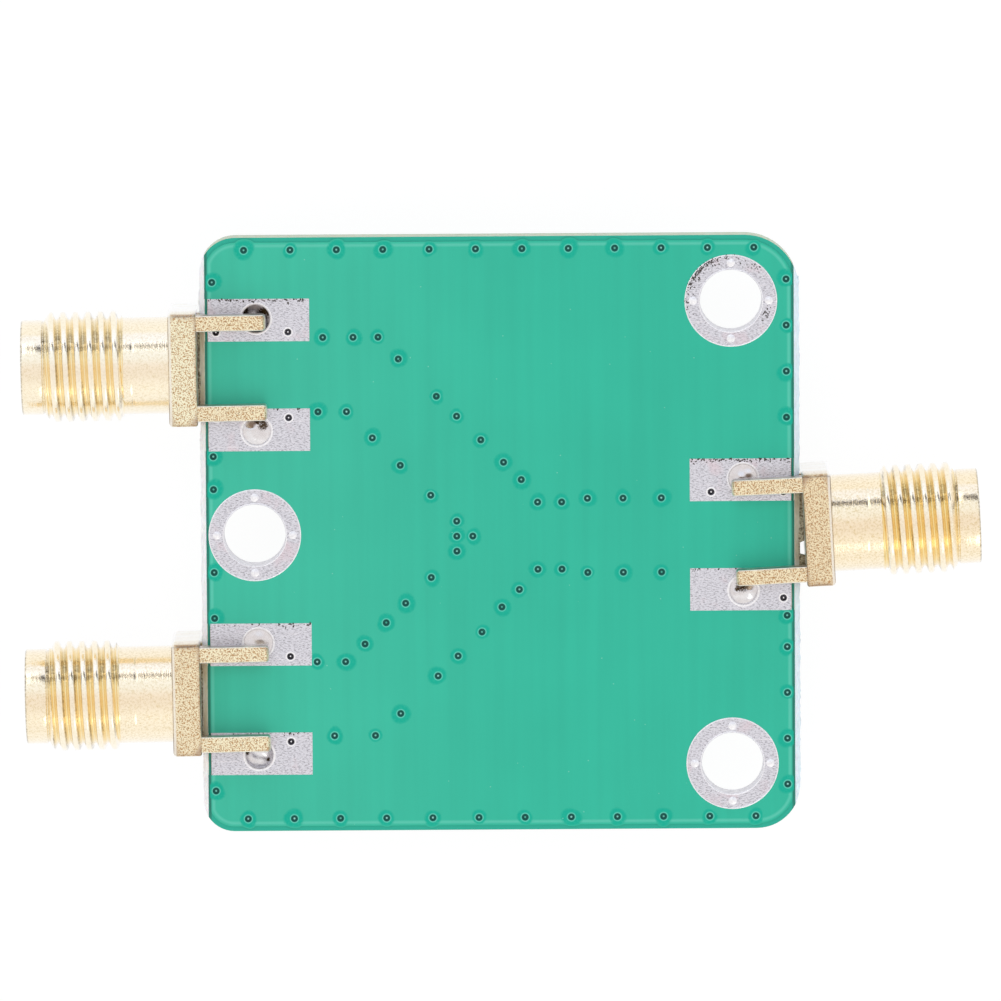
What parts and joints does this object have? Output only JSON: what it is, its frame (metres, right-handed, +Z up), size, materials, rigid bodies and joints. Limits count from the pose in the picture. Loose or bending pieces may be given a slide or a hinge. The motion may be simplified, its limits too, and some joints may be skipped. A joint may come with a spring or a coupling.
{
  "type": "rf power divider",
  "caption": "Resistive RF power divider on a square green circuit board with gold coaxial jacks on two opposite edges and plated mounting holes.",
  "frame": {"origin": "Middle of the board in plan, at the level of the lower sides of the jack flanges on which the part rests.", "axes": "+X runs from the pair of branch jacks to the single common jack, +Z points up out of the plain ground side of the board, and +Y completes the right-handed frame."},
  "size_m": [0.054, 0.0336, 0.0064],
  "materials": {
    "gold": "gold plate over machined brass, satin on the milled faces and polished on the turned ones",
    "mask": "green solder mask, smooth and semi-gloss, over copper",
    "tin": "matte tin plate with fine scratches",
    "solder": "bright solder",
    "laminate": "pale glass-epoxy laminate, rough where it was snapped",
    "copper": "bare copper foil and plating",
    "ptfe": "white PTFE",
    "alumina": "white fired alumina",
    "film": "black overcoat"
  },
  "bodies": {
    "root": {"laminate": "laminate", "back_copper": "copper", "ground_copper": "copper", "signal_traces": "copper", "back_mask": "mask", "front_mask": "mask", "back_tin": "tin", "front_tin": "tin", "via_plating": "copper", "mounting_hole_plating": "tin", "pad_hole_plating": "tin", "ring_via_solder": "solder", "pad_hole_solder": "solder", "branch_a_jack_body": "gold", "branch_b_jack_body": "gold", "common_jack_body": "gold", "branch_a_jack_insulator": "ptfe", "branch_b_jack_insulator": "ptfe", "common_jack_insulator": "ptfe", "branch_a_jack_contact": "gold", "branch_b_jack_contact": "gold", "common_jack_contact": "gold", "branch_a_jack_solder": "solder", "branch_b_jack_solder": "solder", "common_jack_solder": "solder", "branch_a_resistor_core": "alumina", "branch_b_resistor_core": "alumina", "common_resistor_core": "alumina", "branch_a_resistor_film": "film", "branch_b_resistor_film": "film", "common_resistor_film": "film", "branch_a_resistor_caps": "tin", "branch_b_resistor_caps": "tin", "common_resistor_caps": "tin", "branch_a_resistor_solder": "solder", "branch_b_resistor_solder": "solder", "common_resistor_solder": "solder"}
  },
  "joints": []
}
